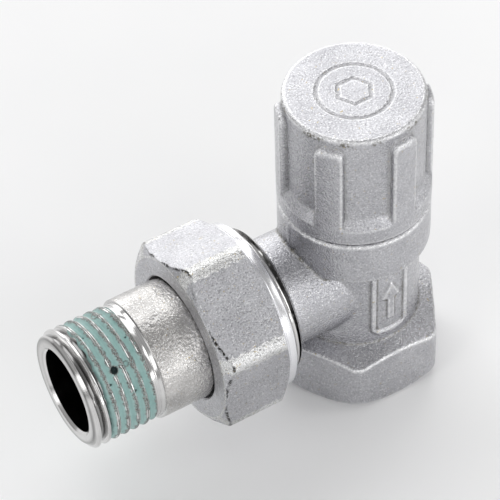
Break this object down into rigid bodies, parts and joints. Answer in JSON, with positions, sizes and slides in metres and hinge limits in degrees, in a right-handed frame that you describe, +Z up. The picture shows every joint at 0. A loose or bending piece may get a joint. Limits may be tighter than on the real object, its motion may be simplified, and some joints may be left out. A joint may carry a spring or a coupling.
{
  "type": "angle lockshield radiator valve",
  "caption": "Angle lockshield radiator valve with a screw cap over a key-set spindle, a threaded inlet below and a union nut with a threaded tailpiece.",
  "frame": {"origin": "centre of the threaded inlet's mouth, in the plane of the hexagon's bottom face", "axes": "+Z up along the spindle to the cap; the union and tailpiece point along -X"},
  "size_m": [0.0722, 0.0316, 0.0619],
  "materials": {
    "body": "sandblasted chrome plate on forged brass",
    "cap": "sandblasted chrome plate",
    "nut": "sandblasted chrome plate, turned bright ring",
    "tail": "nickel plate, rough cast pipe and bright turned thread",
    "brass": "turned",
    "steel": "bright stainless",
    "seal": "moulded",
    "ptfe": "smooth",
    "sealant": "dried thread sealant, matt"
  },
  "bodies": {
    "body": {"valve_body": "body", "headwork": "brass", "headwork_seal": "seal", "snap_ring": "steel"},
    "shutter": {"shutter": "brass", "shutter_washer": "seal", "washer_retainer": "steel", "shutter_screw": "steel", "shutter_clip": "steel"},
    "spindle": {"spindle": "brass", "stop_washer": "ptfe", "spindle_o_ring_lower": "seal", "spindle_o_ring_upper": "seal"},
    "memory_ring": {"memory_screw_o_ring": "seal"},
    "memory_screw": {"memory_screw": "brass"},
    "cap_seal": {"cap_seal": "seal"},
    "cap": {"protective_cap": "cap"},
    "union_seal": {"tail_o_ring": "seal"},
    "tail": {"tailpiece": "tail", "thread_sealant": "sealant"},
    "nut": {"union_nut": "nut"}
  },
  "joints": [
    {"name": "shutter_lift", "type": "slide", "parent": "body", "child": "shutter", "axis": [0, 0, 1], "range_m": [0, 0.004]},
    {"name": "spindle_turn", "type": "hinge", "parent": "shutter", "child": "spindle", "pos_m": [0, 0, 0.035], "axis": [0, 0, 1], "range_deg": [0, 1440]},
    {"name": "memory_travel", "type": "slide", "parent": "body", "child": "memory_ring", "axis": [0, 0, 1], "range_m": [-0.0035, 0]},
    {"name": "memory_turn", "type": "hinge", "parent": "memory_ring", "child": "memory_screw", "pos_m": [0, 0, 0.05], "axis": [0, 0, 1], "range_deg": [-1260, 0]},
    {"name": "cap_lift", "type": "slide", "parent": "body", "child": "cap_seal", "axis": [0, 0, 1], "range_m": [0, 0.006]},
    {"name": "cap_turn", "type": "hinge", "parent": "cap_seal", "child": "cap", "pos_m": [0, 0, 0.05], "axis": [0, 0, 1], "range_deg": [0, 1440]},
    {"name": "union_draw", "type": "slide", "parent": "body", "child": "union_seal", "axis": [-1, 0, 0], "range_m": [0, 0.00816]},
    {"name": "nut_turn", "type": "hinge", "parent": "union_seal", "child": "nut", "pos_m": [-0.0277, 0, 0.0231], "axis": [-1, 0, 0], "range_deg": [0, 1620]},
    {"name": "tail_swivel", "type": "hinge", "parent": "union_seal", "child": "tail", "pos_m": [-0.045, 0, 0.0231], "axis": [-1, 0, 0], "continuous": true}
  ],
  "couplings": [
    {"joint": "spindle_turn", "follows": "shutter_lift", "rad_per_m": 6283.2},
    {"joint": "memory_turn", "follows": "memory_travel", "rad_per_m": 6283.2},
    {"joint": "cap_turn", "follows": "cap_lift", "rad_per_m": 4188.8},
    {"joint": "nut_turn", "follows": "union_draw", "rad_per_m": 3463.2}
  ]
}
